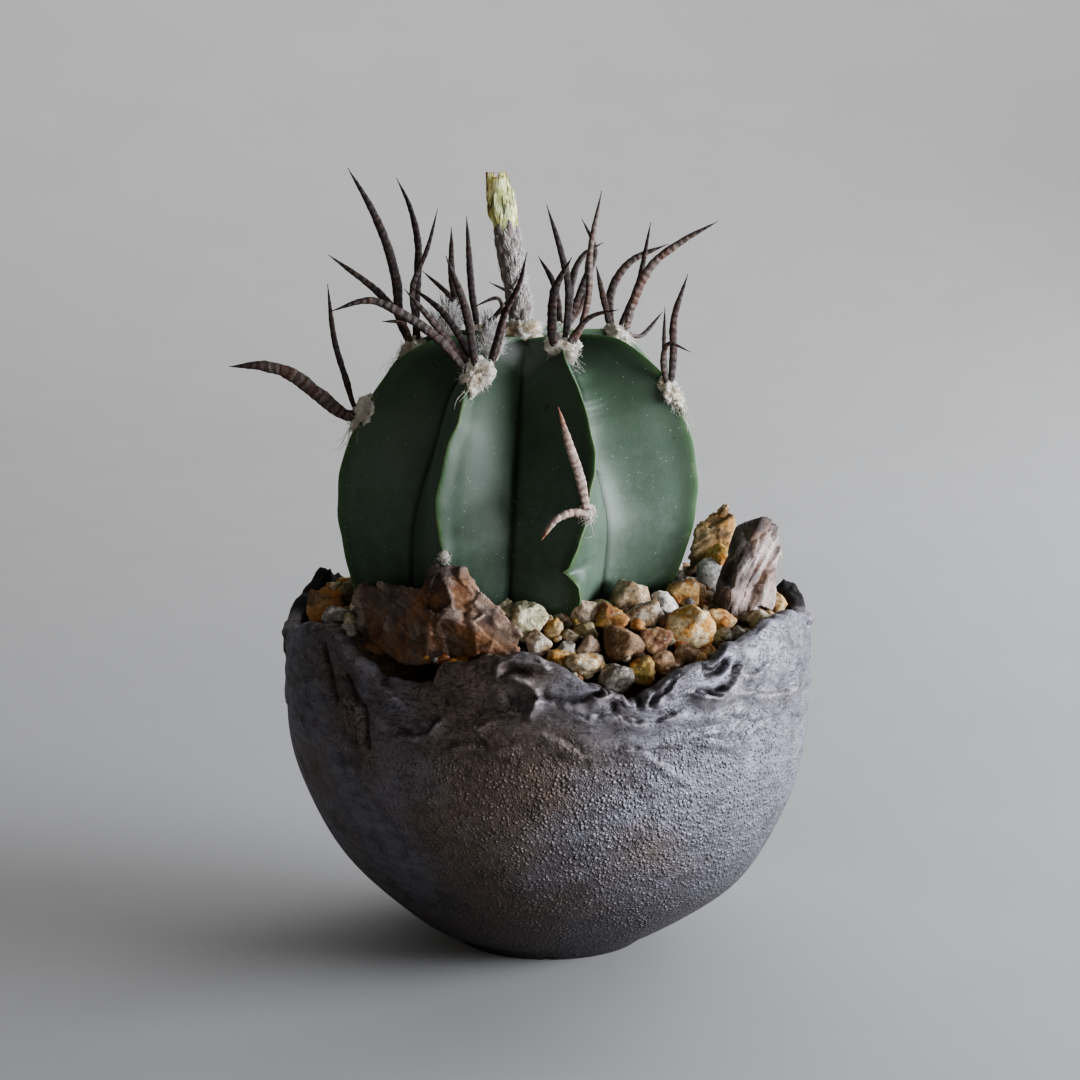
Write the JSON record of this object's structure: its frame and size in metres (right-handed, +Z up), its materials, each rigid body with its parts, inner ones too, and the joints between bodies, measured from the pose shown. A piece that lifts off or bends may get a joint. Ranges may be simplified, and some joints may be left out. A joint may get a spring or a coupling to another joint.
{
  "type": "potted round cactus",
  "caption": "Ribbed round cactus with curled spines and a dried flower, set in gravel and rocks in a hand-made dark stoneware bowl.",
  "frame": {"origin": "middle of the bowl's flat foot, in the plane it stands on", "axes": "+Z up, the side the picture shows towards -Y, +X to its right"},
  "size_m": [0.108, 0.1, 0.1477],
  "materials": {
    "stoneware": "unglazed dark stoneware, granular below and burnished near the rim",
    "soil": "damp crumbly mix of peat and bark",
    "skin": "firm waxy dark green plant skin with a satin bloom",
    "gravel": "mixed cream, ochre, orange and grey pebbles, dry and rough",
    "rock": "rough layered slate with rust stains",
    "tube": "dry papery scales in pale grey wool",
    "petal": "shrivelled dry yellow petals",
    "wool": "short matted cream plant wool",
    "spine": "hard ringed dark brown spines, matt"
  },
  "bodies": {
    "root": {"pot": "stoneware", "soil": "soil", "cactus_body": "skin", "gravel": "gravel", "rock_front": "rock", "rock_right": "rock", "rock_back_right": "rock", "rock_left": "rock", "flower_tube": "tube", "flower_petals": "petal", "wool_crown": "wool", "spines_left": "spine", "wool_left": "wool", "spines_front_left": "spine", "wool_front_left": "wool", "spines_front_right": "spine", "wool_front_right": "wool", "spines_right": "spine", "wool_right": "wool", "spines_back_right": "spine", "wool_back_right": "wool", "spines_far_right": "spine", "wool_far_right": "wool", "spines_far_left": "spine", "wool_far_left": "wool", "spines_back_left": "spine", "wool_back_left": "wool", "spines_low": "spine", "wool_low": "wool", "wool_old": "wool", "wool_shoulder": "wool", "bud_front": "tube", "bud_back": "tube"}
  },
  "joints": []
}
